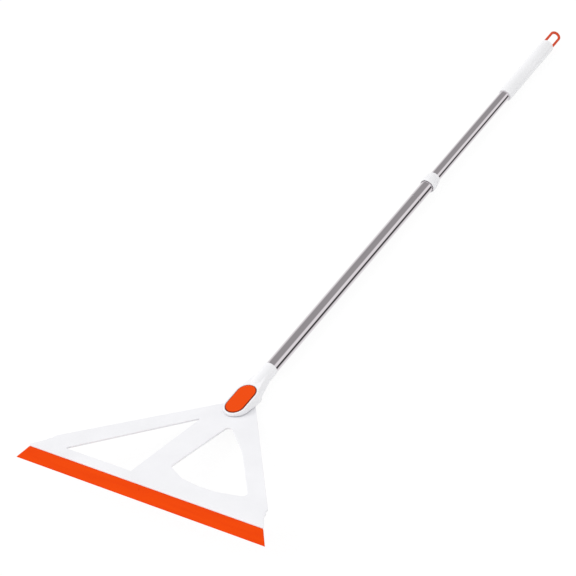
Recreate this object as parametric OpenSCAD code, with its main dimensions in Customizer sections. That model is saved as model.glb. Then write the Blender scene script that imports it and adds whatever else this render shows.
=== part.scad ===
/* [Head plate] */
// width of the plate's front edge, left to right
head_w = 440; // [380:1:500]
// distance from the head pivot to the plate's front lip
head_reach = 243; // [225:1:265]
// thickness of the plate's skin
plate_t = 3; // [2.6:0.1:3.2]
// outer radius of the pivot eye at the plate's rear
eye_r = 20; // [19:0.5:21]
// depth of the stiffening ribs below the skin
rib_h = 5; // [3:0.5:6]
// thickness of the stiffening ribs
rib_t = 2.4; // [1.8:0.2:3.2]
// side step between the plate's rounded corner and the front band
corner_step = 4; // [2:0.5:6]

/* [Blade] */
// length of the bent blade from the lip to its free edge
blade_len = 22; // [16:1:30]
// angle the blade is bent down from the plate
blade_angle = 40; // [30:1:50]
// how far each lower corner flares out past the plate
blade_flare = 14; // [6:1:20]
// thickness of the blade at its root
blade_t = 2.6; // [2:0.1:3]
// thickness of the blade at its free edge
blade_edge_t = 1.2; // [0.8:0.1:1.6]
// depth of the blade's root held under the front band
root_depth = 14; // [12:1:15]
// radius of the moulding gate dimple on the blade
gate_r = 1.4; // [1:0.1:2]

/* [Blade clamp] */
// thickness of the clamp strip under the blade's root
clamp_t = 2.8; // [2.4:0.1:3.4]
// width of the clamp strip, front to back
clamp_w = 17; // [15.5:0.5:18]
// number of clamp screws along the blade
clamp_screws_n = 7; // [5:1:9]
// radius of the moulded posts that the clamp screws bite into
post_r = 3; // [2.6:0.1:3.4]

/* [Joint] */
// angle between the plate and the pole
pole_angle = 14.4; // [12:0.2:16]
// height of the pole's axis over the plate's top at the pivot
axis_over_plate = 6.5; // [6.3:0.1:7.5]
// height of the pole's axis over the flat under the joint
axis_h = 15.5; // [15.3:0.1:17]
// radius of the round ends of the release button
button_r = 16.4; // [15:0.2:17]
// distance between the centres of the button's round ends
button_run = 29.2; // [26:0.2:30]
// height of the housing's rim over the pole's axis
rim_h = 8.5; // [8:0.1:9.5]
// how far the button stands proud of the rim
button_proud = 0.5; // [0.2:0.1:1]
// wall of the housing round the button
rim_wall = 3.2; // [2.4:0.1:3.6]
// gap between the button and its pocket
button_gap = 0.35; // [0.3:0.05:0.5]
// wall of the hollow release button
button_wall = 1.6; // [1.2:0.1:1.8]
// travel of the release button
button_travel = 2; // [1.5:0.1:2.2]
// radius of the pivot post through the plate's eye
post_pivot_r = 11; // [10.5:0.1:11.5]
// radial running clearance between pivot post and eye
pivot_clear = 0.06; // [0.03:0.01:0.1]
// thickness of each pivot washer
washer_t = 0.8; // [0.6:0.1:0.9]
// radius of the cover under the eye
cover_r = 15.5; // [15:0.1:16]
// radius of the spring well in the pivot post
well_r = 6.5; // [6.2:0.1:6.8]

/* [Neck] */
// radius of the round neck
neck_r = 11.8; // [11.4:0.1:12.4]
// distance from the pivot to the end of the neck
neck_end = 81; // [74:1:90]
// length of the spigot inside the lower tube
spigot_len = 35; // [25:1:45]

/* [Tubes] */
// outside diameter of the lower tube
lower_od = 22; // [21.8:0.1:22.4]
// outside diameter of the upper tube
upper_od = 19; // [18.6:0.1:19.1]
// wall thickness of both tubes
tube_wall = 0.5; // [0.4:0.05:0.6]
// distance from the neck to the top of the lower tube
lower_len = 479; // [430:1:520]
// depth of the rolled groove near the lower tube's top
groove_d = 0.6; // [0.4:0.1:0.6]
// width of the rolled groove
groove_w = 3.6; // [3:0.2:5]
// distance from the rolled groove to the lower tube's top
groove_back = 42; // [36:1:46]
// length of upper tube between the collar and the grip
upper_out = 247; // [200:1:280]
// length of upper tube inside the lower tube below the collar
upper_in = 213; // [190:1:240]
// sliding clearance between the parts of the telescope
slide_clear = 0.06; // [0.03:0.01:0.09]

/* [Twist lock] */
// outside radius of the collar at its wide end
collar_r = 13.9; // [13.6:0.1:15]
// outside radius of the collar at its narrow end
collar_tip_r = 11.2; // [10.9:0.1:11.6]
// length of the collar
collar_len = 25; // [22:1:30]
// number of grip ridges round the collar
ridges_n = 26; // [16:2:32]
// height of the grip ridges
ridge_h = 0.35; // [0.2:0.05:0.5]
// gap between the collar and what turns inside it
collar_gap = 0.3; // [0.3:0.02:0.36]

/* [Grip] */
// outside radius of the grip
grip_r = 12.6; // [12.2:0.1:14]
// length of the grip
grip_len = 160; // [120:1:180]
// radius of the rounding at both ends of the grip
grip_round = 1.8; // [1:0.1:2.2]
// radius of the plug in the end of the grip
plug_r = 10.9; // [10.8:0.1:11]
// thickness of the end plug's flange
plug_t = 6; // [5:0.5:8]
// outside width of the hanging loop
loop_w = 21; // [20:0.2:21.2]
// how far the hanging loop stands out of the grip
loop_len = 41; // [32:1:50]
// width of the loop's bar in the plane of the loop
loop_bar = 4.6; // [4:0.1:5]
// thickness of the loop's bar
loop_t = 4; // [3:0.1:4.4]
// turn of the loop about the pole
loop_turn = 40; // [0:1:90]

/* [Hidden] */
$fn = 96;
gap = 0.1;
cap_gap = 0.15;
edge_tilt = atan(0.804);
lip_y = -head_reach;
root_z = -plate_t - gap;
clamp_z = root_z - blade_t - gap;
half_w = head_w / 2;
wash_top = cap_gap + washer_t;
housing_z = wash_top + gap;
pocket_floor = housing_z + 1.5;
button_z = pocket_floor + button_travel + 0.25;
wash_low = -plate_t - cap_gap - washer_t;
cover_z = wash_low - gap;
well_floor = cover_z;
screw_x = (post_pivot_r + well_r) / 2;
stem_top = button_z - gap;
stem_t = 1.2;
spring_r = 4.4;
spring_wire = 0.75;
spring_bottom = well_floor + gap;
spring_top = stem_top - stem_t - gap;
outer_r = button_r + button_gap + rim_wall;
lower_r = lower_od / 2;
lower_ir = lower_r - tube_wall;
upper_r = upper_od / 2;
upper_ir = upper_r - tube_wall;
tube_top = neck_end + lower_len;
groove_y = tube_top - groove_back;
collar_y = tube_top - 2;
collar_top = collar_y + collar_len;
bush_low = groove_y - 6;
bush_top = collar_top - 6;
bush_ir = upper_r + slide_clear;
bush_r = lower_ir - slide_clear;
flange_r = lower_r + 0.6;
collet_r = upper_r + 1.1;
upper_low = collar_top - upper_in;
guide_len = 12;
grip_y = collar_top + upper_out;
grip_end = grip_y + grip_len;
upper_top = grip_end - plug_t - gap - 0.6;
loop_r = loop_w / 2;
loop_y = grip_end + loop_len;
pocket_d = plug_t - 1;
blade_tip_y = -head_reach - blade_len * cos(blade_angle);
blade_tip_z = -plate_t - gap - blade_len * sin(blade_angle);
front_y = blade_tip_y * cos(pole_angle) + (blade_tip_z - axis_over_plate) * sin(pole_angle);
shift_y = -(front_y + loop_y) / 2;

// places a child given in the pole's own frame
module pole_frame() translate([0, shift_y, axis_h]) children();
// places a child given in the plate's own frame
module plate_frame() pole_frame() rotate([-pole_angle, 0, 0]) translate([0, 0, -axis_over_plate]) children();
// places a child whose z runs along the pole
module along(y) pole_frame() translate([0, y, 0]) rotate([-90, 0, 0]) children();

module stadium(r, run) {
    translate([0, -run / 2]) circle(r = r);
    translate([0, run / 2]) circle(r = r);
    square([2 * r, run], center = true);
}

// a convex outline grown by a radius, with true round corners that stand a hair proud of its sides
module round_poly(pts, r) {
    n = len(pts);
    polygon(pts);
    for (i = [0 : n - 1]) {
        a = pts[i];
        b = pts[(i + 1) % n];
        d = b - a;
        s = (r - 0.04) / norm(d);
        o = [d[1] * s, -d[0] * s];
        translate(a) circle(r = r);
        polygon([a, b, b + o, a + o]);
    }
}

// one half of the plate's outline, from the eye to the front edge
module plate_half() {
    tx = eye_r * cos(edge_tilt);
    ty = eye_r * sin(edge_tilt);
    cr = 11;
    cx = half_w - 15 - corner_step - cr;
    cy = lip_y + 23 + cr;
    polygon([[0, 0], [tx, ty], [cx + cr * cos(edge_tilt), cy + cr * sin(edge_tilt)], [cx + cr, cy],
        [cx, cy - cr], [0, cy - cr]]);
    translate([cx, cy]) circle(r = cr);
    translate([0, lip_y + 22]) square([half_w - 16, 8]);
    polygon([[0, lip_y], [half_w, lip_y], [half_w, lip_y + 2], [half_w - 14.5, lip_y + 22.5],
        [0, lip_y + 22.5]]);
}

module left_window() {
    s = head_w / 440;
    v = (head_reach - 19) / 224;
    round_poly([[-36.6 * s, -222 * v], [-36.6 * s, -62 * v], [-161 * s, -222 * v]], 1.6);
}

module right_window() {
    s = head_w / 440;
    v = (head_reach - 19) / 224;
    round_poly([[23 * s, -66 * v], [16.5 * s, -181 * v], [45 * s, -195 * v], [78 * s, -199.5 * v],
        [108 * s, -199 * v], [145 * s, -190 * v], [72 * s, -107 * v]], 7);
}

module plate_plan() {
    difference() {
        union() {
            circle(r = eye_r);
            plate_half();
            mirror([1, 0]) plate_half();
        }
        left_window();
        right_window();
    }
}

module rib(a, b) {
    d = b - a;
    s = rib_t / 2 / norm(d);
    o = [d[1] * s, -d[0] * s];
    translate([0, 0, -plate_t - rib_h]) linear_extrude(rib_h + 0.5) polygon([a - o, b - o, b + o, a + o]);
}

function clamp_x(i) = (i / (clamp_screws_n - 1) - 0.5) * (head_w - 40);
clamp_cy = lip_y + 1.5 + clamp_w / 2;

module each_clamp_screw() for (i = [0 : clamp_screws_n - 1]) translate([clamp_x(i), clamp_cy, 0]) children();

module head_plate() color([0.95, 0.95, 0.97]) plate_frame() {
    k = head_w / 440;
    v = (head_reach - 19) / 224;
    difference() {
        union() {
            translate([0, 0, -plate_t]) linear_extrude(plate_t) plate_plan();
            rib([-23 * k, -30 * v], [-189 * k, -220 * v]);
            rib([23 * k, -30 * v], [182 * k, -208 * v]);
            rib([-8 * k, -28 * v], [-11 * k, -220 * v]);
            each_clamp_screw() translate([0, 0, clamp_z + gap / 2]) cylinder(r = post_r, h = blade_t + 3 * gap);
        }
        translate([0, 0, -20]) cylinder(r = post_pivot_r + pivot_clear, h = 40);
        each_clamp_screw() translate([0, 0, -20]) cylinder(r = 1.25, h = 20 - 0.9);
    }
}

// outline of the blade across its length: y across, z up
module blade_profile() {
    c = cos(blade_angle);
    s = sin(blade_angle);
    polygon([[lip_y + 1.5, root_z], [lip_y, root_z], [blade_tip_y, blade_tip_z],
        [blade_tip_y + blade_edge_t * s, blade_tip_z - blade_edge_t * c],
        [lip_y + blade_t * tan(blade_angle / 2), root_z - blade_t], [lip_y + 1.5 + blade_t, root_z - blade_t]]);
}

module blade() color([0.95, 0.3, 0.03]) plate_frame() difference() {
    union() {
        intersection() {
            rotate([90, 0, 90]) linear_extrude(head_w + 80, center = true) blade_profile();
            translate([0, lip_y, root_z]) rotate([blade_angle, 0, 0]) translate([0, 0, -30])
                linear_extrude(60) polygon([[-half_w, 8], [-half_w, 0],
                    [-half_w - blade_flare * 1.1, -blade_len * 1.1], [half_w + blade_flare * 1.1, -blade_len * 1.1],
                    [half_w, 0], [half_w, 8]]);
        }
        translate([0.4 - half_w, lip_y + 1, root_z - blade_t]) cube([head_w - 0.8, 2, blade_t]);
        translate([3 - half_w, lip_y + 1, root_z - blade_t]) cube([head_w - 6, root_depth - 1, blade_t]);
    }
    each_clamp_screw() translate([0, 0, root_z - blade_t - 1]) cylinder(r = post_r + 0.3, h = blade_t + 2);
    translate([0, lip_y, root_z]) rotate([blade_angle, 0, 0]) translate([0, -blade_len * 0.3, -0.25])
        cylinder(r = gate_r, h = 1);
}

module blade_clamp() color([0.93, 0.93, 0.95]) plate_frame() difference() {
    translate([0, clamp_cy, clamp_z - clamp_t / 2]) cube([head_w - 10, clamp_w, clamp_t], center = true);
    each_clamp_screw() translate([0, 0, clamp_z - clamp_t - 1]) cylinder(r = 1.5, h = clamp_t + 2);
    each_clamp_screw() translate([0, 0, clamp_z - clamp_t - 1]) cylinder(r = 2.8, h = 1 + 1.3);
}

module pan_screw(head_r, head_t, shaft_r, shaft_l) {
    difference() {
        cylinder(r = head_r, h = head_t);
        translate([0, 0, -1]) linear_extrude(1 + head_t * 0.5) {
            square([head_r * 1.2, head_r * 0.25], center = true);
            square([head_r * 0.25, head_r * 1.2], center = true);
        }
    }
    translate([0, 0, head_t / 2 + 0.01]) cylinder(r = shaft_r, h = head_t / 2 - 0.01 + shaft_l);
}

module clamp_screws() color([0.75, 0.76, 0.78]) plate_frame()
    each_clamp_screw() translate([0, 0, clamp_z - clamp_t + 0.1]) pan_screw(2.5, 1.15, 1.2, clamp_t + blade_t);

module washer(z) translate([0, 0, z]) difference() {
    cylinder(r = cover_r - 0.5, h = washer_t);
    translate([0, 0, -1]) cylinder(r = post_pivot_r + 0.3, h = washer_t + 2);
}

module pivot_washer_upper() color([0.85, 0.86, 0.88]) plate_frame() washer(cap_gap);

module pivot_washer_lower() color([0.7, 0.71, 0.73]) plate_frame() washer(wash_low);

// the space the turning plate sweeps below the housing
module swing_cut() plate_frame() translate([-100, -150, housing_z - 60]) cube([200, 300, 60]);

// everything above a plane parallel to the plate
module above_plate(z) plate_frame() translate([-100, -150, z]) cube([200, 300, 100]);

module housing_solid() {
    pole_frame() translate([0, 0, 0.6 - axis_h]) linear_extrude(rim_h + axis_h - 0.6) stadium(outer_r, button_run);
    intersection() {
        along(outer_r * 0.9) cylinder(r1 = outer_r * 0.98, r2 = neck_r - 0.2, h = 44);
        pole_frame() translate([-50, 0, 0.6 - axis_h]) cube([100, 90, rim_h + axis_h - 0.6]);
    }
    along(outer_r + button_run / 2 + neck_r * 0.72) sphere(r = neck_r);
    along(outer_r + button_run / 2 + neck_r * 0.72)
        cylinder(r = neck_r, h = neck_end - (outer_r + button_run / 2 + neck_r * 0.72));
}

module joint_housing() color([0.95, 0.95, 0.97]) {
    difference() {
        union() {
            difference() {
                housing_solid();
                swing_cut();
                intersection() {
                    pole_frame() translate([0, 0, -60]) linear_extrude(120)
                        stadium(button_r + button_gap, button_run);
                    above_plate(pocket_floor);
                }
            }
            plate_frame() translate([0, 0, cover_z + gap]) cylinder(r = post_pivot_r, h = pocket_floor - cover_z - gap);
        }
        plate_frame() translate([0, 0, -40]) cylinder(r = well_r, h = 80);
        for (x = [-screw_x, screw_x])
            plate_frame() translate([x, 0, -40]) cylinder(r = 1.05, h = 40 + pocket_floor - 1.5);
    }
    along(neck_end - 2) difference() {
        cylinder(r = lower_ir - 0.05, h = spigot_len + 2);
        translate([0, 0, 6]) cylinder(r = lower_ir - 2.6, h = spigot_len);
    }
}

module joint_cover() color([0.93, 0.93, 0.95]) difference() {
    plate_frame() translate([0, 0, cover_z - 30]) cylinder(r = cover_r, h = 30);
    translate([-60, shift_y - 60, -80]) cube([120, 120, 80]);
    for (x = [-screw_x, screw_x]) {
        plate_frame() translate([x, 0, cover_z - 30]) cylinder(r = 1.35, h = 31);
        plate_frame() translate([x, 0, cover_z - 31.6]) cylinder(r = 2.2, h = 30);
    }
}

module cover_screws() color([0.75, 0.76, 0.78]) for (x = [-screw_x, screw_x])
    plate_frame() translate([x, 0, cover_z - 1.7 - 1.1]) pan_screw(2, 1.1, 1, 6.4);

module button_block(inset, top) intersection() {
    pole_frame() translate([0, 0, -60]) linear_extrude(60 + top) stadium(button_r - inset, button_run);
    above_plate(button_z - inset);
}

module release_button() color([0.95, 0.3, 0.03]) {
    difference() {
        button_block(0, rim_h + button_proud);
        button_block(button_wall, rim_h + button_proud - button_wall);
    }
    intersection() {
        button_block(0, rim_h + button_proud - button_wall / 2);
        plate_frame() translate([0, 0, -40]) cylinder(r = 6, h = 80);
    }
}

module button_stem() color([0.9, 0.9, 0.92]) plate_frame() {
    translate([0, 0, stem_top - stem_t]) cylinder(r = 5.6, h = stem_t);
    translate([0, 0, stem_top - stem_t - 3]) cylinder(r = 3.2, h = 3.5);
}

module button_spring() color([0.7, 0.71, 0.73]) plate_frame() {
    n = 5;
    step = (spring_top - spring_bottom - 2 * spring_wire) / n;
    for (i = [0 : n])
        translate([0, 0, spring_bottom + spring_wire + step * i]) rotate_extrude()
            translate([spring_r, 0]) circle(r = spring_wire, $fn = 24);
}

module lower_tube() color([0.72, 0.73, 0.76]) along(neck_end) rotate_extrude() {
    a = groove_y - neck_end;
    w = groove_w / 2;
    polygon([[lower_ir, 0], [lower_r, 0], [lower_r, a - w], [lower_r - groove_d, a - w / 3],
        [lower_r - groove_d, a + w / 3], [lower_r, a + w], [lower_r, lower_len], [lower_ir, lower_len],
        [lower_ir, a + w], [lower_ir - groove_d, a + w / 3], [lower_ir - groove_d, a - w / 3], [lower_ir, a - w]]);
}

module collet_bushing() color([0.93, 0.93, 0.95]) along(bush_low) difference() {
    rotate_extrude() {
        a = groove_y - bush_low;
        t = tube_top - bush_low;
        w = groove_w / 2;
        polygon([[bush_ir, 0], [bush_r, 0], [bush_r, a - w], [bush_r - groove_d, a - w / 3],
            [bush_r - groove_d, a + w / 3], [bush_r, a + w], [bush_r, t + gap], [flange_r, t + gap],
            [flange_r, t + 3], [collet_r, t + 3], [collet_r, bush_top - bush_low], [bush_ir, bush_top - bush_low]]);
    }
    for (q = [0, 90])
        rotate([0, 0, q]) translate([-30, -0.6, tube_top - bush_low + 4]) cube([60, 1.2, 60]);
}

module lock_collar() color([0.94, 0.94, 0.96]) along(collar_y) {
    tilt = atan((collar_r - collar_tip_r) / (collar_len - 5));
    difference() {
        rotate_extrude() polygon([[0, 0], [collar_r - 0.8, 0], [collar_r, 0.8], [collar_r, 4],
            [collar_tip_r, collar_len - 1], [collar_tip_r - 0.8, collar_len], [0, collar_len]]);
        translate([0, 0, -1]) cylinder(r = flange_r + collar_gap, h = 1 + tube_top - collar_y + 3.4);
        translate([0, 0, -1]) cylinder(r = collet_r + collar_gap, h = 1 + bush_top - collar_y + 0.5);
        translate([0, 0, -1]) cylinder(r = upper_r + collar_gap, h = 60);
    }
    for (i = [0 : ridges_n - 1])
        rotate([0, 0, 360 / ridges_n * i]) translate([collar_r, 0, 4.6]) rotate([0, -tilt, 0])
            translate([-0.6, -0.45, 0]) cube([0.6 + ridge_h, 0.9, collar_len - 9]);
}

module upper_tube() color([0.72, 0.73, 0.76]) along(upper_low) difference() {
    cylinder(r = upper_r, h = upper_top - upper_low);
    translate([0, 0, -1]) cylinder(r = upper_ir, h = upper_top - upper_low + 2);
}

module guide_plug() color([0.9, 0.9, 0.92]) along(upper_low - guide_len - gap) difference() {
    union() {
        cylinder(r = lower_ir - slide_clear, h = guide_len);
        cylinder(r = upper_ir - 0.05, h = guide_len + 22);
    }
    translate([0, 0, -1]) cylinder(r = 5, h = guide_len + 18);
}

module grip() color([0.95, 0.95, 0.96]) along(grip_y) difference() {
    rotate_extrude() {
        polygon([[upper_r + 0.05, 0], [grip_r - grip_round, 0], [grip_r, grip_round],
            [grip_r, grip_len - grip_round], [grip_r - grip_round, grip_len], [upper_r + 0.05, grip_len]]);
        translate([grip_r - grip_round, grip_round]) circle(r = grip_round);
        translate([grip_r - grip_round, grip_len - grip_round]) circle(r = grip_round);
    }
    translate([0, 0, -1]) cylinder(r = upper_r + 0.05, h = grip_len + 2);
    translate([0, 0, grip_len - plug_t - 0.6]) cylinder(r = plug_r + 0.05, h = plug_t + 2);
}

module loop_legs(extra, depth, low) for (s = [-1, 1])
    translate([s * (loop_r - loop_bar / 2), 0, low + depth / 2])
        cube([loop_bar + 2 * extra, loop_t + 2 * extra, depth], center = true);

module end_plug() color([0.95, 0.95, 0.96]) along(grip_end - plug_t - 0.5) rotate([0, 0, loop_turn]) difference() {
    union() {
        cylinder(r = plug_r, h = plug_t);
        translate([0, 0, -22]) cylinder(r = upper_ir - 0.05, h = 22.5);
    }
    translate([0, 0, -30]) cylinder(r = 5, h = 28);
    loop_legs(0.1, pocket_d + 2, plug_t - pocket_d);
}

module hanging_loop() color([0.85, 0.35, 0.22]) along(grip_end - 0.5) rotate([0, 0, loop_turn]) {
    straight = loop_len + 0.5 - loop_r;
    loop_legs(0, straight + pocket_d - gap, gap - pocket_d);
    translate([0, 0, straight]) rotate([90, 0, 0]) translate([0, 0, -loop_t / 2]) difference() {
        cylinder(r = loop_r, h = loop_t);
        translate([0, 0, -1]) cylinder(r = loop_r - loop_bar, h = loop_t + 2);
        translate([-40, -80, -1]) cube([80, 80, loop_t + 2]);
    }
}

head_plate();
blade();
blade_clamp();
clamp_screws();
pivot_washer_upper();
pivot_washer_lower();
joint_housing();
joint_cover();
cover_screws();
release_button();
button_stem();
button_spring();
lower_tube();
collet_bushing();
lock_collar();
upper_tube();
guide_plug();
grip();
end_plug();
hanging_loop();
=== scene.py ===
# %% [markdown]
# # A telescopic floor scraper
# The real thing is a triangular plastic head with a rubber blade, a flat swivel joint with a push button,
# two polished steel tubes that slide in each other, a twist collar, a plastic grip and a hanging loop.
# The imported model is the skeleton: every piece made here sits on it, in metres, in the same frame.

# %% Load the frame
import math

import bmesh
import bpy
from mathutils import Matrix, Vector


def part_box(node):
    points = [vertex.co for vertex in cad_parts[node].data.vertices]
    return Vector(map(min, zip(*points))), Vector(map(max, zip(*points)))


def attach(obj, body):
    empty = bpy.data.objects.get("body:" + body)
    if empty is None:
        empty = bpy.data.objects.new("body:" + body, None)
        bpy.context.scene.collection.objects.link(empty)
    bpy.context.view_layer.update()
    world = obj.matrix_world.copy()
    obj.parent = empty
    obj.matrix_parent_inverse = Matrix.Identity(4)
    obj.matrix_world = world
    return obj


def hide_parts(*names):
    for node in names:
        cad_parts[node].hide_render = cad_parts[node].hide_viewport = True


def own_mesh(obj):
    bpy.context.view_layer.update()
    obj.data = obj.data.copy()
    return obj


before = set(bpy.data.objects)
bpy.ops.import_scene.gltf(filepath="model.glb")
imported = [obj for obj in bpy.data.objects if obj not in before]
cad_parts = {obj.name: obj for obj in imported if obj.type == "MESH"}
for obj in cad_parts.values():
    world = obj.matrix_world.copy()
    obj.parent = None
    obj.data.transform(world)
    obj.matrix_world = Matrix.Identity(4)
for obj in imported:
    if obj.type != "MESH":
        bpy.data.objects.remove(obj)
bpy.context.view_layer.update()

# %% [markdown]
# ## Where things are
# The pole lies along +Y. Pieces on the pole are drawn in millimetres from the point where the head's pivot
# crosses the pole's axis. Pieces on the head are drawn flat, and one matrix tips them to the head's angle.
# Both matrices also turn millimetres into metres, so each drawing uses the sizes a maker would write down.

# %% Frames for the pole and for the head
NECK_END = 81          # mm from the pivot to the start of the lower tube
HEAD_TIP = 14.4        # degrees between the head plate and the pole
AXIS_OVER_PLATE = 6.5  # mm from the plate's top up to the pole's axis, at the pivot

tube_low, tube_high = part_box("lower_tube")
PIVOT = Vector((0, tube_low.y - NECK_END / 1000, (tube_low.z + tube_high.z) / 2))
POLE = Matrix.Translation(PIVOT) @ Matrix.Scale(0.001, 4)
HEAD = POLE @ Matrix.Rotation(-math.radians(HEAD_TIP), 4, "X") @ Matrix.Translation((0, 0, -AXIS_OVER_PLATE))


def along(mm):
    """The frame of a round piece: its own z runs up the pole, from that many mm past the pivot."""
    return POLE @ Matrix.Translation((0, mm, 0)) @ Matrix.Rotation(-math.pi / 2, 4, "X")


print("pivot crossing at", tuple(round(v, 4) for v in PIVOT))

# %% [markdown]
# ## Two ways to start a mesh
# Flat mouldings start as a flat curve: a few corners, each with its own radius. Blender fills the curve,
# leaves the inner loops open as windows, gives it thickness and rounds both rims in one go.
# Round pieces start as half a cross-section, which is spun about the axis as on a lathe.

# %% Flat mouldings
def grown(corners, r):
    """The corners of a convex outline pushed out by r, each then rounded with that radius."""
    out = []
    n = len(corners)
    turn = sum(corners[i][0] * corners[(i + 1) % n][1] - corners[(i + 1) % n][0] * corners[i][1] for i in range(n))
    side = 1 if turn > 0 else -1
    for i, p in enumerate(corners):
        p, a, b = Vector(p), Vector(corners[i - 1]), Vector(corners[(i + 1) % n])
        d0, d1 = (p - a).normalized(), (b - p).normalized()
        n0, n1 = Vector((d0.y, -d0.x)) * side, Vector((d1.y, -d1.x)) * side
        mitre = (n0 + n1) * (r / (1 + n0.dot(n1)))
        out.append((p.x + mitre.x, p.y + mitre.y, r))
    return out


def flat_moulding(loops, low, high, rim, smooth=10):
    """A filled plate between two heights with rounded rims. A loop is a list of corners (x, y, radius)."""
    curve = bpy.data.curves.new("outline", "CURVE")
    curve.dimensions, curve.fill_mode, curve.resolution_u = "2D", "BOTH", smooth
    curve.extrude, curve.bevel_depth, curve.bevel_resolution = (high - low) / 2 - rim, rim, 3
    curve.offset = -rim
    for corners in loops:
        knots = []
        for i, (x, y, r) in enumerate(corners):
            p = Vector((x, y, 0))
            d0 = (p - Vector((*corners[i - 1][:2], 0))).normalized()
            d1 = (Vector((*corners[(i + 1) % len(corners)][:2], 0)) - p).normalized()
            turn = d0.angle(d1)
            reach, handle = r * math.tan(turn / 2), r * math.tan(turn / 4) * 4 / 3
            start, end = p - d0 * reach, p + d1 * reach
            knots += [[start, start - d0 * 0.1, start + d0 * handle], [end, end - d1 * handle, end + d1 * 0.1]]
        for i in range(len(knots) - 1, -1, -1):
            if (knots[i][0] - knots[i - 1][0]).length < 0.01:  # one arc runs straight into the next
                knots[i - 1][2] = knots[i][2]
                del knots[i]
        spline = curve.splines.new("BEZIER")
        spline.bezier_points.add(len(knots) - 1)
        spline.use_cyclic_u = True
        for point, (place, left, right) in zip(spline.bezier_points, knots):
            point.handle_left_type = point.handle_right_type = "FREE"
            point.co, point.handle_left, point.handle_right = place, left, right
    holder = bpy.data.objects.new("outline", curve)
    bpy.context.scene.collection.objects.link(holder)
    mesh = bpy.data.meshes.new_from_object(holder.evaluated_get(bpy.context.evaluated_depsgraph_get()))
    bpy.data.objects.remove(holder)
    bm = bmesh.new()
    bm.from_mesh(mesh)
    bmesh.ops.translate(bm, verts=bm.verts, vec=(0, 0, (high + low) / 2))
    bmesh.ops.remove_doubles(bm, verts=bm.verts, dist=0.002)
    bmesh.ops.recalc_face_normals(bm, faces=bm.faces)
    print("flat moulding, top face", round(sum(f.calc_area() for f in bm.faces if f.normal.z > 0.99)), "mm2")
    return bm


# %% Round pieces
def turned(section, steps=128, rounded=()):
    """Spins a closed half-section of (radius, height) points. Each (radius, height, width) edge is rounded."""
    bm = bmesh.new()
    points = [bm.verts.new((r, 0, z)) for r, z in section]
    edges = [bm.edges.new((points[i - 1], points[i])) for i in range(len(points))]
    bmesh.ops.spin(bm, geom=points + edges, axis=(0, 0, 1), cent=(0, 0, 0), dvec=(0, 0, 0),
                   angle=math.tau, steps=steps, use_merge=True, use_duplicate=False)
    bmesh.ops.remove_doubles(bm, verts=bm.verts, dist=0.001)
    bmesh.ops.recalc_face_normals(bm, faces=bm.faces)
    for r, z, width in rounded:
        ring = [e for e in bm.edges if all(abs(v.co.z - z) < 0.01 and abs(v.co.xy.length - r) < 0.01 for v in e.verts)]
        bmesh.ops.bevel(bm, geom=ring, offset=width, offset_type="OFFSET", affect="EDGES", segments=5,
                        profile=0.5, material=-1, clamp_overlap=True)
    return bm


def block(bm, size, place, turn=0.0, soft=0.4):
    """A bar with softened edges, added to a mesh that is being made."""
    bar = bmesh.new()
    bmesh.ops.create_cube(bar, size=1)
    bmesh.ops.scale(bar, vec=size, verts=bar.verts)
    bmesh.ops.bevel(bar, geom=bar.edges[:], offset=soft, offset_type="OFFSET", affect="EDGES", segments=2,
                    profile=0.5, material=-1)
    bmesh.ops.rotate(bar, verts=bar.verts, cent=(0, 0, 0), matrix=Matrix.Rotation(turn, 3, "Z"))
    bmesh.ops.translate(bar, verts=bar.verts, vec=place)
    mesh = bpy.data.meshes.new("bar")
    bar.to_mesh(mesh)
    bm.from_mesh(mesh)


# %% Turning a drawing into a piece
def piece(name, bm, place, body, material, stands_for, sharp=35):
    """Puts a mesh in its place, in metres, rides it on its body and hides the CAD node it stands for."""
    bmesh.ops.transform(bm, matrix=place, verts=bm.verts)
    mesh = bpy.data.meshes.new(name)
    bm.to_mesh(mesh)
    bm.free()
    mesh.shade_smooth()
    mesh.set_sharp_from_angle(angle=math.radians(sharp))
    mesh.materials.append(material)
    obj = bpy.data.objects.new(name, mesh)
    bpy.context.scene.collection.objects.link(obj)
    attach(obj, body)
    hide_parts(stands_for)
    even = obj.modifiers.new("even_normals", "WEIGHTED_NORMAL")  # wide flat faces stay flat beside narrow rounds
    even.mode, even.keep_sharp = "FACE_AREA", True
    print(f"{name}: {len(mesh.polygons)} faces on {body}")
    return obj


# %% [markdown]
# ## Finishes
# Every finish is a Principled surface. Small patterns are worked out in real millimetres on Object
# coordinates, which are metres here, so a pattern of N mm has a scale of 1000 / N.

# %% Colour and node helpers
def srgb(hexa):
    """A colour written as it looks on a screen, as the linear values that a shader needs."""
    parts = [int(hexa[i:i + 2], 16) / 255 for i in (1, 3, 5)]
    return [c / 12.92 if c <= 0.04045 else ((c + 0.055) / 1.055) ** 2.4 for c in parts] + [1.0]


def add(tree, kind, settings=None, inputs=None):
    """Adds a node, sets its properties and its sockets; a socket's value may be another node's output."""
    node = tree.nodes.new(kind)
    for key, value in (settings or {}).items():
        setattr(node, key, value)
    for key, value in (inputs or {}).items():
        if isinstance(value, bpy.types.NodeSocket):
            tree.links.new(value, node.inputs[key])
        else:
            node.inputs[key].default_value = value
    return node


def per_mm(size):
    """The scale of a pattern whose features are that many millimetres across."""
    return 1000 / size


def new_finish(name, **shader):
    """A material with its Principled shader, its tree and its Object coordinates."""
    material = bpy.data.materials.new(name)
    material.use_nodes = True
    tree = material.node_tree
    tree.nodes.clear()
    surface = add(tree, "ShaderNodeBsdfPrincipled", inputs={k.replace("_", " "): v for k, v in shader.items()})
    out = add(tree, "ShaderNodeOutputMaterial")
    tree.links.new(surface.outputs["BSDF"], out.inputs["Surface"])
    return material, tree, surface, add(tree, "ShaderNodeTexCoord").outputs["Object"]


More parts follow.
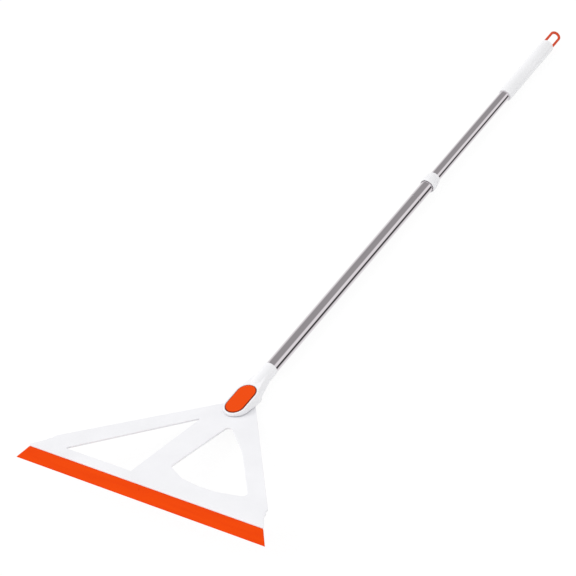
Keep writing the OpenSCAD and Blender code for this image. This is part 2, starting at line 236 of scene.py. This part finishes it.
def drift(tree, place, size, low, high, detail=3.0):
    """A noise of that size in mm, spread between two values."""
    noise = add(tree, "ShaderNodeTexNoise", inputs={"Vector": place, "Scale": per_mm(size), "Detail": detail})
    return add(tree, "ShaderNodeMapRange", inputs={"Value": noise.outputs["Fac"], "From Min": 0.3, "From Max": 0.7,
                                                   "To Min": low, "To Max": high}).outputs["Result"]


def tint(tree, amount, first, second):
    """Mixes two colours by a value."""
    mix = add(tree, "ShaderNodeMix", {"data_type": "RGBA"})
    tree.links.new(amount, mix.inputs[0])
    mix.inputs[6].default_value, mix.inputs[7].default_value = srgb(first), srgb(second)
    return mix.outputs[2]


def relief(tree, height, distance, strength=1.0):
    """A bump whose full height is that many millimetres."""
    return add(tree, "ShaderNodeBump", inputs={"Height": height, "Distance": distance / 1000,
                                               "Strength": strength}).outputs["Normal"]


# %% [markdown]
# ### Moulded plastics
# Polypropylene comes out of a spark-eroded mould: the grain is about half a millimetre, almost flat, and
# scatters the highlight into a broad soft sheen. The head and joint are polypropylene. The grip is ABS from a
# smoother mould, so its highlight is tighter.

# %% Plastics
def moulded(name, main, second, rough, grain_mm, grain_height, cloud_mm=60.0, shine=0.5):
    """A moulded plastic: two close tones that drift over the part, and an eroded grain."""
    material, tree, surface, place = new_finish(name, IOR=1.49, Specular_IOR_Level=shine)
    tree.links.new(tint(tree, drift(tree, place, cloud_mm, 0, 1), main, second), surface.inputs["Base Color"])
    tree.links.new(drift(tree, place, 4.0, rough - 0.05, rough + 0.05), surface.inputs["Roughness"])
    grain = add(tree, "ShaderNodeTexNoise", inputs={"Vector": place, "Scale": per_mm(grain_mm), "Detail": 2.0})
    tree.links.new(relief(tree, grain.outputs["Fac"], grain_height), surface.inputs["Normal"])
    return material


HEAD_PP = moulded("polypropylene_spark_eroded_white", "#F5F5F8", "#F0F0F3", 0.42, 0.8, 0.008)
JOINT_PP = moulded("polypropylene_fine_moulded_white", "#F6F6F8", "#F1F1F4", 0.36, 0.9, 0.004)
GRIP_ABS = moulded("abs_smooth_moulded_white", "#F5F5F7", "#F0F0F2", 0.32, 1.2, 0.003)
INNER_POM = moulded("acetal_moulded_natural", "#EDEBE4", "#E6E3DA", 0.3, 1.0, 0.01)
print("plastics made")

# %% [markdown]
# ### Coloured rubber and plastic
# The blade is a thermoplastic rubber: matt, with faint flow lines along its length from filling a long thin
# mould. The button is the same colour in hard polypropylene, with painted shade on its rim: darker where the
# edge turns down into the joint. The loop is a redder, slightly clear plastic.

# %% Blade rubber
def blade_rubber():
    material, tree, surface, place = new_finish("thermoplastic_rubber_moulded_orange", IOR=1.5, Specular_IOR_Level=0.06)
    flow = add(tree, "ShaderNodeMapping", inputs={"Vector": place, "Scale": (0.08, 1.0, 1.0)}).outputs["Vector"]
    tree.links.new(tint(tree, drift(tree, flow, 6.0, 0, 1), "#EC4700", "#E74200"), surface.inputs["Base Color"])
    tree.links.new(drift(tree, flow, 2.0, 0.42, 0.56), surface.inputs["Roughness"])
    skin = add(tree, "ShaderNodeTexNoise", inputs={"Vector": flow, "Scale": per_mm(1.2), "Detail": 2.0})
    tree.links.new(relief(tree, skin.outputs["Fac"], 0.03), surface.inputs["Normal"])
    return material


BLADE_RUBBER = blade_rubber()

# %% Button plastic, with painted shade on its rim
BUTTON_R, BUTTON_RUN = 16.4, 29.2


def button_plastic_with_painted_rim_shade():
    """Orange, with painted shade: darker past a distance from the button's middle line, found from its own coordinates.
    """
    material, tree, surface, place = new_finish("polypropylene_gloss_moulded_orange_painted_rim_shade", IOR=1.49, Specular_IOR_Level=0.08)
    local = add(tree, "ShaderNodeVectorMath", {"operation": "SUBTRACT"}, {0: place, 1: PIVOT}).outputs["Vector"]
    xyz = add(tree, "ShaderNodeSeparateXYZ", inputs={"Vector": local})
    half = BUTTON_RUN / 2000
    held = add(tree, "ShaderNodeClamp", inputs={"Value": xyz.outputs["Y"], "Min": -half, "Max": half})
    past = add(tree, "ShaderNodeMath", {"operation": "SUBTRACT"}, {0: xyz.outputs["Y"], 1: held.outputs["Result"]})
    out = add(tree, "ShaderNodeCombineXYZ", inputs={"X": xyz.outputs["X"], "Y": past.outputs["Value"]})
    far = add(tree, "ShaderNodeVectorMath", {"operation": "LENGTH"}, {0: out.outputs["Vector"]})
    # the rim mask: painted shade, darker towards the capsule's edge where it turns down into the joint
    rim = add(tree, "ShaderNodeMapRange", inputs={"Value": far.outputs["Value"], "From Min": (BUTTON_R - 1.9) / 1000,
                                                  "From Max": (BUTTON_R - 0.9) / 1000})
    rim.interpolation_type = "SMOOTHSTEP"
    # the dark brown second colour is the painted shade on the rim
    tree.links.new(tint(tree, rim.outputs["Result"], "#EB4A01", "#8E2C0C"), surface.inputs["Base Color"])
    tree.links.new(drift(tree, place, 5.0, 0.28, 0.38), surface.inputs["Roughness"])
    skin = add(tree, "ShaderNodeTexNoise", inputs={"Vector": place, "Scale": per_mm(1.0), "Detail": 2.0})
    tree.links.new(relief(tree, skin.outputs["Fac"], 0.01), surface.inputs["Normal"])
    return material


BUTTON_PP_PAINTED_RIM_SHADE = button_plastic_with_painted_rim_shade()
LOOP_PP = moulded("polypropylene_tinted_moulded_red", "#DC4F28", "#D14621", 0.3, 1.0, 0.01, cloud_mm=20, shine=0.25)
print("coloured finishes made")

# %% [markdown]
# ### Metals
# The tubes are stainless steel, drawn through a die and then polished along their length. The polish leaves
# faint lines that run the long way, so the reflections are stretched across the tube only a little. Screws and
# spring are plated steel, matt from tumbling.

# %% Metals
def drawn_steel(name, colour, second, rough, line_mm, height):
    """A polished metal with fine lines along the pole."""
    material, tree, surface, place = new_finish(name, Metallic=1.0)
    lengthways = add(tree, "ShaderNodeMapping", inputs={"Vector": place, "Scale": (1.0, 0.02, 1.0)}).outputs["Vector"]
    tree.links.new(tint(tree, drift(tree, lengthways, 3.0, 0, 1), colour, second), surface.inputs["Base Color"])
    tree.links.new(drift(tree, lengthways, line_mm, rough * 0.8, rough * 1.3), surface.inputs["Roughness"])
    lines = add(tree, "ShaderNodeTexNoise", inputs={"Vector": lengthways, "Scale": per_mm(line_mm), "Detail": 2.0})
    tree.links.new(relief(tree, lines.outputs["Fac"], height), surface.inputs["Normal"])
    return material


TUBE_STEEL = drawn_steel("stainless_steel_drawn_polished", "#ECE6EA", "#E6DFE4", 0.035, 1.0, 0.0003)
PLATED_STEEL = drawn_steel("steel_zinc_plated_tumbled", "#C8CACE", "#B9BCC2", 0.3, 0.6, 0.004)
SPRING_STEEL = drawn_steel("spring_steel_drawn_bright", "#B4B6BA", "#A2A5AA", 0.24, 0.5, 0.003)
print("metals made")

# %% [markdown]
# ## The head plate
# One moulding: a flat triangular skin with two windows that aren't mirror images, a round eye for the pivot,
# and ribs and screw posts below. The outline and windows are one flat curve, so their rims are evenly round.

# %% Head plate
PLATE_T, LIP = 3.0, -243.0
HALF_OUTLINE = [(201, -204.9, 11), (201, -213.4, 1.2), (204.4, -213.4, 1.2), (205.4, -220.4, 1.0),
                (219.9, -240.9, 0.8), (219.9, LIP, 0.8)]
LEFT_WINDOW = grown([(-36.6, -222), (-36.6, -62), (-161, -222)], 1.6)
RIGHT_WINDOW = grown([(23, -66), (16.5, -181), (45, -195), (78, -199.5), (108, -199), (145, -190), (72, -107)], 7)
EYE_BORE = 11.06
SCREWS_X = [(i / 6 - 0.5) * 400 for i in range(7)]
CLAMP_Y = LIP + 10

outline = [(0, 30.81, 20), *HALF_OUTLINE, *[(-x, y, r) for x, y, r in reversed(HALF_OUTLINE)]]
eye = [(EYE_BORE, EYE_BORE, EYE_BORE), (-EYE_BORE, EYE_BORE, EYE_BORE),
       (-EYE_BORE, -EYE_BORE, EYE_BORE), (EYE_BORE, -EYE_BORE, EYE_BORE)]
plate = flat_moulding([outline, LEFT_WINDOW, RIGHT_WINDOW, eye], -PLATE_T, 0, 0.6, smooth=12)
for start, end in (((-23, -30), (-189, -220)), ((23, -30), (182, -208)), ((-8, -28), (-11, -220))):
    run = Vector(end) - Vector(start)
    middle = (Vector(start) + Vector(end)) / 2
    block(plate, (run.length, 2.4, 5.4), (middle.x, middle.y, -PLATE_T - 2.3), math.atan2(run.y, run.x), 0.5)
for x in SCREWS_X:
    bmesh.ops.create_cone(plate, cap_ends=True, segments=32, radius1=3, radius2=3, depth=2.8,
                          matrix=Matrix.Translation((x, CLAMP_Y, -PLATE_T - 1.3)))
piece("head_plate_moulding", plate, HEAD, "head", HEAD_PP, "head_plate")

# %% [markdown]
# ## The blade
# A strip of rubber is held under the plate's front band and bends down past it. Its lower corners flare out
# past the plate. It starts as one end's outline, is extruded to the other end, and its edges are softened.

# %% Blade
BLADE_LEN, BLADE_BEND, BLADE_T, BLADE_TIP_T, FLARE = 22, math.radians(40), 2.6, 1.2, 14
root = -PLATE_T - 0.1
tip_y, tip_z = LIP - BLADE_LEN * math.cos(BLADE_BEND), root - BLADE_LEN * math.sin(BLADE_BEND)
# each point of the end: half length there, y, z
BLADE_END = [(205, LIP + 14, root), (219.6, LIP, root), (220 + FLARE, tip_y, tip_z),
             (220 + FLARE, tip_y + BLADE_TIP_T * math.sin(BLADE_BEND), tip_z - BLADE_TIP_T * math.cos(BLADE_BEND)),
             (219.8, LIP + BLADE_T * math.tan(BLADE_BEND / 2), root - BLADE_T), (205, LIP + 14, root - BLADE_T)]


def make_blade():
    bm = bmesh.new()
    first = bm.faces.new([bm.verts.new((-x, y, z)) for x, y, z in BLADE_END])
    grown_end = bmesh.ops.extrude_face_region(bm, geom=[first], use_keep_orig=True)
    for v in grown_end["geom"]:
        if isinstance(v, bmesh.types.BMVert):
            v.co.x = -v.co.x
    bmesh.ops.recalc_face_normals(bm, faces=bm.faces)
    bmesh.ops.bevel(bm, geom=bm.edges[:], offset=0.35, offset_type="OFFSET", affect="EDGES", segments=3,
                    profile=0.5, material=-1)
    return bm


def bored(bm, holes):
    """Cuts round holes, each (matrix, radius, depth), from a mesh."""
    cutter = bmesh.new()
    for place, radius, depth in holes:
        bmesh.ops.create_cone(cutter, cap_ends=True, segments=32, radius1=radius, radius2=radius,
                              depth=depth, matrix=place)
    objects = []
    for shape in (bm, cutter):
        mesh = bpy.data.meshes.new("stock")
        shape.to_mesh(mesh)
        shape.free()
        objects.append(bpy.data.objects.new("stock", mesh))
        bpy.context.scene.collection.objects.link(objects[-1])
    cut = objects[0].modifiers.new("holes", "BOOLEAN")
    cut.operation, cut.solver, cut.object = "DIFFERENCE", "EXACT", objects[1]
    made = bpy.data.meshes.new_from_object(objects[0].evaluated_get(bpy.context.evaluated_depsgraph_get()))
    for o in objects:
        bpy.data.objects.remove(o)
    result = bmesh.new()
    result.from_mesh(made)
    return result


gate = Matrix.Translation((0, LIP, root)) @ Matrix.Rotation(BLADE_BEND, 4, "X") @ Matrix.Translation((0, -6.6, 0.25))
holes = [(gate, 1.4, 1.1)] + [(Matrix.Translation((x, CLAMP_Y, root - 1.3)), 3.3, 6) for x in SCREWS_X]
piece("rubber_blade", bored(make_blade(), holes), HEAD, "head", BLADE_RUBBER, "blade", sharp=30)

# %% [markdown]
# ## The clamp strip
# A plain bar under the blade's root, with softened edges. Seven screws sink into its counterbored holes.

# %% Clamp strip
CLAMP_T, CLAMP_W, CLAMP_LEN = 2.8, 17, 414
clamp_top = root - BLADE_T - 0.1
strip = bmesh.new()
block(strip, (CLAMP_LEN, CLAMP_W, CLAMP_T), (0, CLAMP_Y, clamp_top - CLAMP_T / 2), soft=0.5)
sinks = [(Matrix.Translation((x, CLAMP_Y, clamp_top - CLAMP_T)), 2.8, 2.6) for x in SCREWS_X]
shafts = [(Matrix.Translation((x, CLAMP_Y, clamp_top)), 1.5, 6) for x in SCREWS_X]
piece("blade_clamp_strip", bored(bored(strip, sinks), shafts), HEAD, "head", HEAD_PP, "blade_clamp")

# %% [markdown]
# ## The swivel joint
# The housing is a deep tray with a round neck, cut off along the head's plane so that it turns over it. Its
# edges run into one another, which is hard to bevel edge by edge. A copy of the CAD solid is rebuilt as small
# even cells and smoothed a little, as a moulding's own radii would be.

# %% Joint housing
def softened_copy(node, cell, rounds):
    """A CAD node's solid, rebuilt in even cells of that many mm and smoothed."""
    bm = bmesh.new()
    bm.from_mesh(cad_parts[node].data)
    bmesh.ops.remove_doubles(bm, verts=bm.verts, dist=1e-6)
    mesh = bpy.data.meshes.new("stock")
    bm.to_mesh(mesh)
    bm.free()
    stock = bpy.data.objects.new("stock", mesh)
    bpy.context.scene.collection.objects.link(stock)
    cells = stock.modifiers.new("cells", "REMESH")
    cells.mode, cells.voxel_size, cells.use_smooth_shade = "VOXEL", cell / 1000, True
    soft = stock.modifiers.new("soft", "SMOOTH")
    soft.factor, soft.iterations = 0.5, rounds
    made = bpy.data.meshes.new_from_object(stock.evaluated_get(bpy.context.evaluated_depsgraph_get()))
    bpy.data.objects.remove(stock)
    result = bmesh.new()
    result.from_mesh(made)
    return result


piece("joint_housing_moulding", softened_copy("joint_housing", 0.5, 12), Matrix.Identity(4), "pole_base",
      JOINT_PP, "joint_housing", sharp=80)

# %% [markdown]
# ## The release button
# A capsule with a rounded top rim, cut off below along the head's plane. Under it a coil spring sits in the
# pivot post. The coil is a small ring spun round the post while it climbs.

# %% Release button
BUTTON_TOP, BUTTON_LOW, CAP_R = 9.0, 5.3, 16.25
capsule = [(x * CAP_R, y * (BUTTON_RUN / 2 + CAP_R), CAP_R) for x, y in ((1, 1), (-1, 1), (-1, -1), (1, -1))]
button = flat_moulding([capsule], -14, BUTTON_TOP, 1.1, smooth=24)
under = POLE.inverted() @ HEAD
cut = bmesh.ops.bisect_plane(button, geom=button.verts[:] + button.edges[:] + button.faces[:], dist=0.0001,
                             plane_co=under @ Vector((0, 0, BUTTON_LOW)), plane_no=under.to_3x3() @ Vector((0, 0, 1)),
                             clear_inner=True)
bmesh.ops.contextual_create(button, geom=[e for e in cut["geom_cut"] if isinstance(e, bmesh.types.BMEdge)])
bmesh.ops.recalc_face_normals(button, faces=button.faces)
piece("release_button_cap", button, POLE, "button", BUTTON_PP_PAINTED_RIM_SHADE, "release_button")

# %% Button spring
SPRING_R, WIRE_R, SPRING_LOW, SPRING_HIGH, TURNS = 4.4, 0.7, -3.95, 3.4, 5


def coil():
    bm = bmesh.new()
    ring = bmesh.ops.create_circle(bm, cap_ends=True, segments=16, radius=WIRE_R)["verts"]
    bmesh.ops.rotate(bm, verts=ring, cent=(0, 0, 0), matrix=Matrix.Rotation(math.pi / 2, 3, "X"))
    bmesh.ops.translate(bm, verts=ring, vec=(SPRING_R, 0, SPRING_LOW + WIRE_R))
    steps = TURNS * 36
    rise = (SPRING_HIGH - SPRING_LOW - 2 * WIRE_R) / steps
    bmesh.ops.spin(bm, geom=bm.faces[:], axis=(0, 0, 1), cent=(0, 0, 0), dvec=(0, 0, rise), angle=math.tau * TURNS,
                   steps=steps, use_merge=False, use_duplicate=False)
    bmesh.ops.recalc_face_normals(bm, faces=bm.faces)
    return bm


spring = piece("button_coil_spring", coil(), HEAD, "pole_base", SPRING_STEEL, "button_spring")
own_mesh(spring)

# %% [markdown]
# ## The telescopic tubes
# Each tube is a thin ring of metal, so its section is a long narrow loop. The lower one has a rolled groove
# that grips the bushing inside. The groove's walls are drawn as a smooth dip, because a polished surface
# shows every corner in its reflections.

# %% Tubes
TUBE_WALL, LOWER_R, LOWER_LEN, GROOVE, GROOVE_W, GROOVE_DEEP = 0.5, 11.0, 479, 437, 3.6, 0.6


def dip(z):
    """How far the groove draws the wall in, at that height."""
    share = abs(z - GROOVE) / (GROOVE_W / 2)
    return GROOVE_DEEP * (0.5 + 0.5 * math.cos(math.pi * share)) if share < 1 else 0.0


groove_heights = [GROOVE - GROOVE_W / 2 + GROOVE_W * i / 12 for i in range(13)]
outer = [(LOWER_R, 0)] + [(LOWER_R - dip(z), z) for z in groove_heights] + [(LOWER_R, LOWER_LEN)]
inner = [(r - TUBE_WALL, z) for r, z in reversed(outer)]
piece("lower_tube_steel", turned(outer + inner, rounded=[(LOWER_R, 0, 0.12), (LOWER_R, LOWER_LEN, 0.15)]),
      along(NECK_END), "pole_base", TUBE_STEEL, "lower_tube", sharp=40)

UPPER_R, UPPER_LOW, UPPER_LEN = 9.5, 370, 613.3
piece("upper_tube_steel", turned([(UPPER_R - TUBE_WALL, 0), (UPPER_R, 0), (UPPER_R, UPPER_LEN),
                                  (UPPER_R - TUBE_WALL, UPPER_LEN)], rounded=[(UPPER_R, 0, 0.12)]),
      along(UPPER_LOW), "upper_pole", TUBE_STEEL, "upper_tube", sharp=40)

# %% [markdown]
# ## The twist collar
# A tapered ring with 26 fine ridges for the fingers. The ring is spun with eight columns to a ridge, and each
# column is pushed out by its share of a wave, which gives soft raised lines without any extra pieces.

# %% Twist collar
COLLAR_AT, COLLAR_LEN, COLLAR_R, COLLAR_TIP_R, RIDGES, RIDGE_H = 558, 25, 13.9, 11.2, 26, 0.35
cone = [(COLLAR_R, 4)] + [(COLLAR_R - (z - 4) / 20 * (COLLAR_R - COLLAR_TIP_R), z) for z in (5, 5.6, 12, 20, 20.6)]
section = [(COLLAR_R - 0.8, 0), (COLLAR_R, 0.8), *cone, (COLLAR_TIP_R, COLLAR_LEN - 1), (COLLAR_TIP_R - 0.8, COLLAR_LEN),
           (9.8, COLLAR_LEN), (9.8, 19.5), (10.9, 19.5), (10.9, 5.4), (11.9, 5.4), (11.9, 0)]
COLUMNS = 8
collar = turned(section, steps=RIDGES * COLUMNS)
for v in collar.verts:
    if 5.3 < v.co.z < 20.3 and v.co.xy.length > COLLAR_TIP_R + 0.2:
        column = math.atan2(v.co.y, v.co.x) / math.tau * RIDGES
        v.co.xy *= 1 + RIDGE_H * max(0.0, -math.cos(math.tau * column)) / v.co.xy.length
piece("twist_lock_collar", collar, along(COLLAR_AT), "collar", JOINT_PP, "lock_collar", sharp=50)

# %% [markdown]
# ## Grip and hanging loop
# The grip is a plain round sleeve with well rounded ends and a plug set into its mouth. The loop is a flat U
# with both faces rounded over, pushed into two pockets in the plug and turned 40 degrees about the pole.

# %% Grip
GRIP_AT, GRIP_LEN, GRIP_R, GRIP_BORE, MOUTH_R, MOUTH_DEEP = 830, 160, 12.6, 9.56, 10.96, 6.6
sleeve = turned([(GRIP_BORE, 0), (GRIP_R, 0), (GRIP_R, GRIP_LEN), (MOUTH_R, GRIP_LEN),
                 (MOUTH_R, GRIP_LEN - MOUTH_DEEP), (GRIP_BORE, GRIP_LEN - MOUTH_DEEP)],
                rounded=[(GRIP_R, 0, 1.8), (GRIP_R, GRIP_LEN, 1.4)])
piece("grip_sleeve", sleeve, along(GRIP_AT), "upper_pole", GRIP_ABS, "grip", sharp=40)

# %% Hanging loop
LOOP_HALF, LOOP_BAR, LOOP_T, LOOP_TOP, LOOP_LOW, LOOP_TURN = 10.5, 4.6, 4.0, 41.5, -4.9, 40
inside = LOOP_HALF - LOOP_BAR
loop_outline = [(-LOOP_HALF, LOOP_LOW, 0.3), (-LOOP_HALF, LOOP_TOP, LOOP_HALF), (LOOP_HALF, LOOP_TOP, LOOP_HALF),
                (LOOP_HALF, LOOP_LOW, 0.3), (inside, LOOP_LOW, 0.3), (inside, LOOP_TOP - LOOP_BAR, inside),
                (-inside, LOOP_TOP - LOOP_BAR, inside), (-inside, LOOP_LOW, 0.3)]
upright = along(GRIP_AT + GRIP_LEN - 0.5) @ Matrix.Rotation(math.radians(LOOP_TURN), 4, "Z") \
    @ Matrix.Rotation(math.pi / 2, 4, "X")
piece("hanging_loop_moulding", flat_moulding([loop_outline], -LOOP_T / 2, LOOP_T / 2, 1.4, smooth=20), upright,
      "upper_pole", LOOP_PP, "hanging_loop")

# %% [markdown]
# ## Pieces that keep their CAD shape
# The cover, washers, screws, bushing and plugs are plain inside parts. Their CAD meshes are right
# as they are, so they only get their real finishes.

# %% Finishes on the CAD nodes
CAD_FINISHES = {"joint_cover": JOINT_PP, "end_plug": GRIP_ABS, "collet_bushing": INNER_POM,
                "guide_plug": INNER_POM, "button_stem": INNER_POM, "pivot_washer_upper": INNER_POM,
                "pivot_washer_lower": PLATED_STEEL, "clamp_screws": PLATED_STEEL, "cover_screws": PLATED_STEEL}
for name, finish in CAD_FINISHES.items():
    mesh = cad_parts[name].data
    mesh.materials.clear()
    mesh.materials.append(finish)
print("finishes given to", len(CAD_FINISHES), "CAD nodes")

# %% [markdown]
# ## Floor, light and camera
# A white floor that keeps a faint contact shadow, an even white sky, and one large soft lamp from the upper
# left. Polished steel only looks like steel when it has something dark to reflect, so the sky that its
# reflections see is a white room with a grey card on one side of the pole and a black flag on the other.

# %% Floor
def paper_floor():
    material = bpy.data.materials.new("paper_sweep_white")
    material.use_nodes = True
    tree = material.node_tree
    tree.nodes.clear()
    place = add(tree, "ShaderNodeTexCoord").outputs["Object"]
    tone = tint(tree, drift(tree, place, 300.0, 0, 1), "#FFFFFF", "#FCFCFC")
    paper = add(tree, "ShaderNodeBsdfDiffuse", inputs={"Color": tone})
    glow = add(tree, "ShaderNodeEmission", inputs={"Color": (1, 1, 1, 1), "Strength": 1.02})
    seen = add(tree, "ShaderNodeLightPath").outputs["Is Camera Ray"]
    share = add(tree, "ShaderNodeMath", {"operation": "MULTIPLY"}, {0: seen, 1: 0.9})
    mix = add(tree, "ShaderNodeMixShader", inputs={0: share.outputs["Value"], 1: paper.outputs["BSDF"],
                                                   2: glow.outputs["Emission"]})
    below = add(tree, "ShaderNodeNewGeometry").outputs["Backfacing"]
    window = add(tree, "ShaderNodeMath", {"operation": "MULTIPLY"}, {0: below, 1: seen})
    open_below = add(tree, "ShaderNodeMixShader", inputs={0: window.outputs["Value"], 1: mix.outputs["Shader"],
                                                          2: add(tree, "ShaderNodeBsdfTransparent").outputs["BSDF"]})
    out = add(tree, "ShaderNodeOutputMaterial")
    tree.links.new(open_below.outputs["Shader"], out.inputs["Surface"])
    return material


floor_bm = bmesh.new()
bmesh.ops.create_grid(floor_bm, x_segments=4, y_segments=4, size=6)
bmesh.ops.translate(floor_bm, verts=floor_bm.verts, vec=(0, 0, -0.0005))
floor_mesh = bpy.data.meshes.new("floor")
floor_bm.to_mesh(floor_mesh)
floor_bm.free()
floor_mesh.materials.append(paper_floor())
floor = bpy.data.objects.new("floor", floor_mesh)
bpy.context.scene.collection.objects.link(floor)
floor.visible_glossy = False

# %% Sky with a grey card and a black flag
FLAG_AIM = 40  # degrees from straight up, towards +X, from which the angles round the pole are counted
WHITE_WALL, GREY_CARD, BLACK_FLAG = "#F0F0F0", "#A0A0A0", "#202020"
# what stands round the pole, each from one angle to another; the tone turns softly in the gaps between them
PANELS = [(-180, -120, WHITE_WALL), (-90, 0, GREY_CARD), (15, 45, WHITE_WALL), (60, 75, BLACK_FLAG),
          (105, 180, WHITE_WALL)]


def flags(tree, angle, panels):
    """A ramp of greys over the turn from -180 to 180 degrees, even over each panel."""
    ramp = add(tree, "ShaderNodeValToRGB", inputs={"Fac": angle})
    marks = ramp.color_ramp.elements
    stops = [(degrees, grey) for start, end, grey in panels for degrees in (start, end)]
    while len(marks) < len(stops):
        marks.new(1.0)
    for mark, (degrees, grey) in zip(marks, stops):
        mark.position = (degrees + 180) / 360
        mark.color = srgb(grey)
    return ramp.outputs["Color"]


world = bpy.data.worlds.new("studio")
bpy.context.scene.world = world
world.use_nodes = True
sky = world.node_tree
sky.nodes.clear()
looking = add(sky, "ShaderNodeTexCoord").outputs["Generated"]
toward = add(sky, "ShaderNodeSeparateXYZ", inputs={"Vector": looking})
round_pole = add(sky, "ShaderNodeMath", {"operation": "ARCTAN2"},
                 {0: toward.outputs["X"], 1: toward.outputs["Z"]})
aimed = add(sky, "ShaderNodeMath", {"operation": "SUBTRACT"},
            {0: round_pole.outputs["Value"], 1: math.radians(FLAG_AIM)})
wrapped = add(sky, "ShaderNodeMath", {"operation": "WRAP"},
              {0: aimed.outputs["Value"], 1: math.pi, 2: -math.pi})
share = add(sky, "ShaderNodeMapRange", inputs={"Value": wrapped.outputs["Value"], "From Min": -math.pi,
                                               "From Max": math.pi})
seen_round_pole = flags(sky, share.outputs["Result"], PANELS)
path = add(sky, "ShaderNodeLightPath")
even = add(sky, "ShaderNodeBackground", inputs={"Color": (1, 1, 1, 1), "Strength": 0.88})
plain = add(sky, "ShaderNodeBackground", inputs={"Color": (1, 1, 1, 1), "Strength": 1.0})
mirror = add(sky, "ShaderNodeBackground", inputs={"Color": seen_round_pole, "Strength": 1.0})
first = add(sky, "ShaderNodeMixShader", inputs={0: path.outputs["Is Glossy Ray"],
                                                1: even.outputs["Background"],
                                                2: mirror.outputs["Background"]})
last = add(sky, "ShaderNodeMixShader", inputs={0: path.outputs["Is Camera Ray"], 1: first.outputs["Shader"],
                                               2: plain.outputs["Background"]})
sky_out = add(sky, "ShaderNodeOutputWorld")
sky.links.new(last.outputs["Shader"], sky_out.inputs["Surface"])
print("sky made,", len(PANELS), "panels round the pole")

# %% Lamp
lamp = bpy.data.lights.new("soft_lamp", "SUN")
lamp.energy, lamp.angle = 0.85, math.radians(40)
lamp_object = bpy.data.objects.new("soft_lamp", lamp)
bpy.context.scene.collection.objects.link(lamp_object)
lamp_object.rotation_mode = "QUATERNION"
lamp_object.rotation_quaternion = Vector((-0.62, -0.30, 0.72)).to_track_quat("Z", "Y")
lamp_object.visible_glossy = False

# %% Camera
LENS_MM = 117.7
CAMERA_AT = Vector((1.6065, -1.8473, 1.9120))
RIGHT, UP = Vector((0.80613, 0.54769, -0.22402)), Vector((-0.21378, 0.62257, 0.75279))
camera = bpy.data.cameras.new("camera")
camera.lens, camera.sensor_width = LENS_MM, 36
camera_object = bpy.data.objects.new("camera", camera)
bpy.context.scene.collection.objects.link(camera_object)
back = RIGHT.cross(UP).normalized()
side = UP.cross(back).normalized()
turn = Matrix((side, back.cross(side), back)).transposed()
camera_object.matrix_world = Matrix.Translation(CAMERA_AT) @ turn.to_4x4()
bpy.context.scene.camera = camera_object
bpy.context.scene.view_settings.view_transform = "Standard"
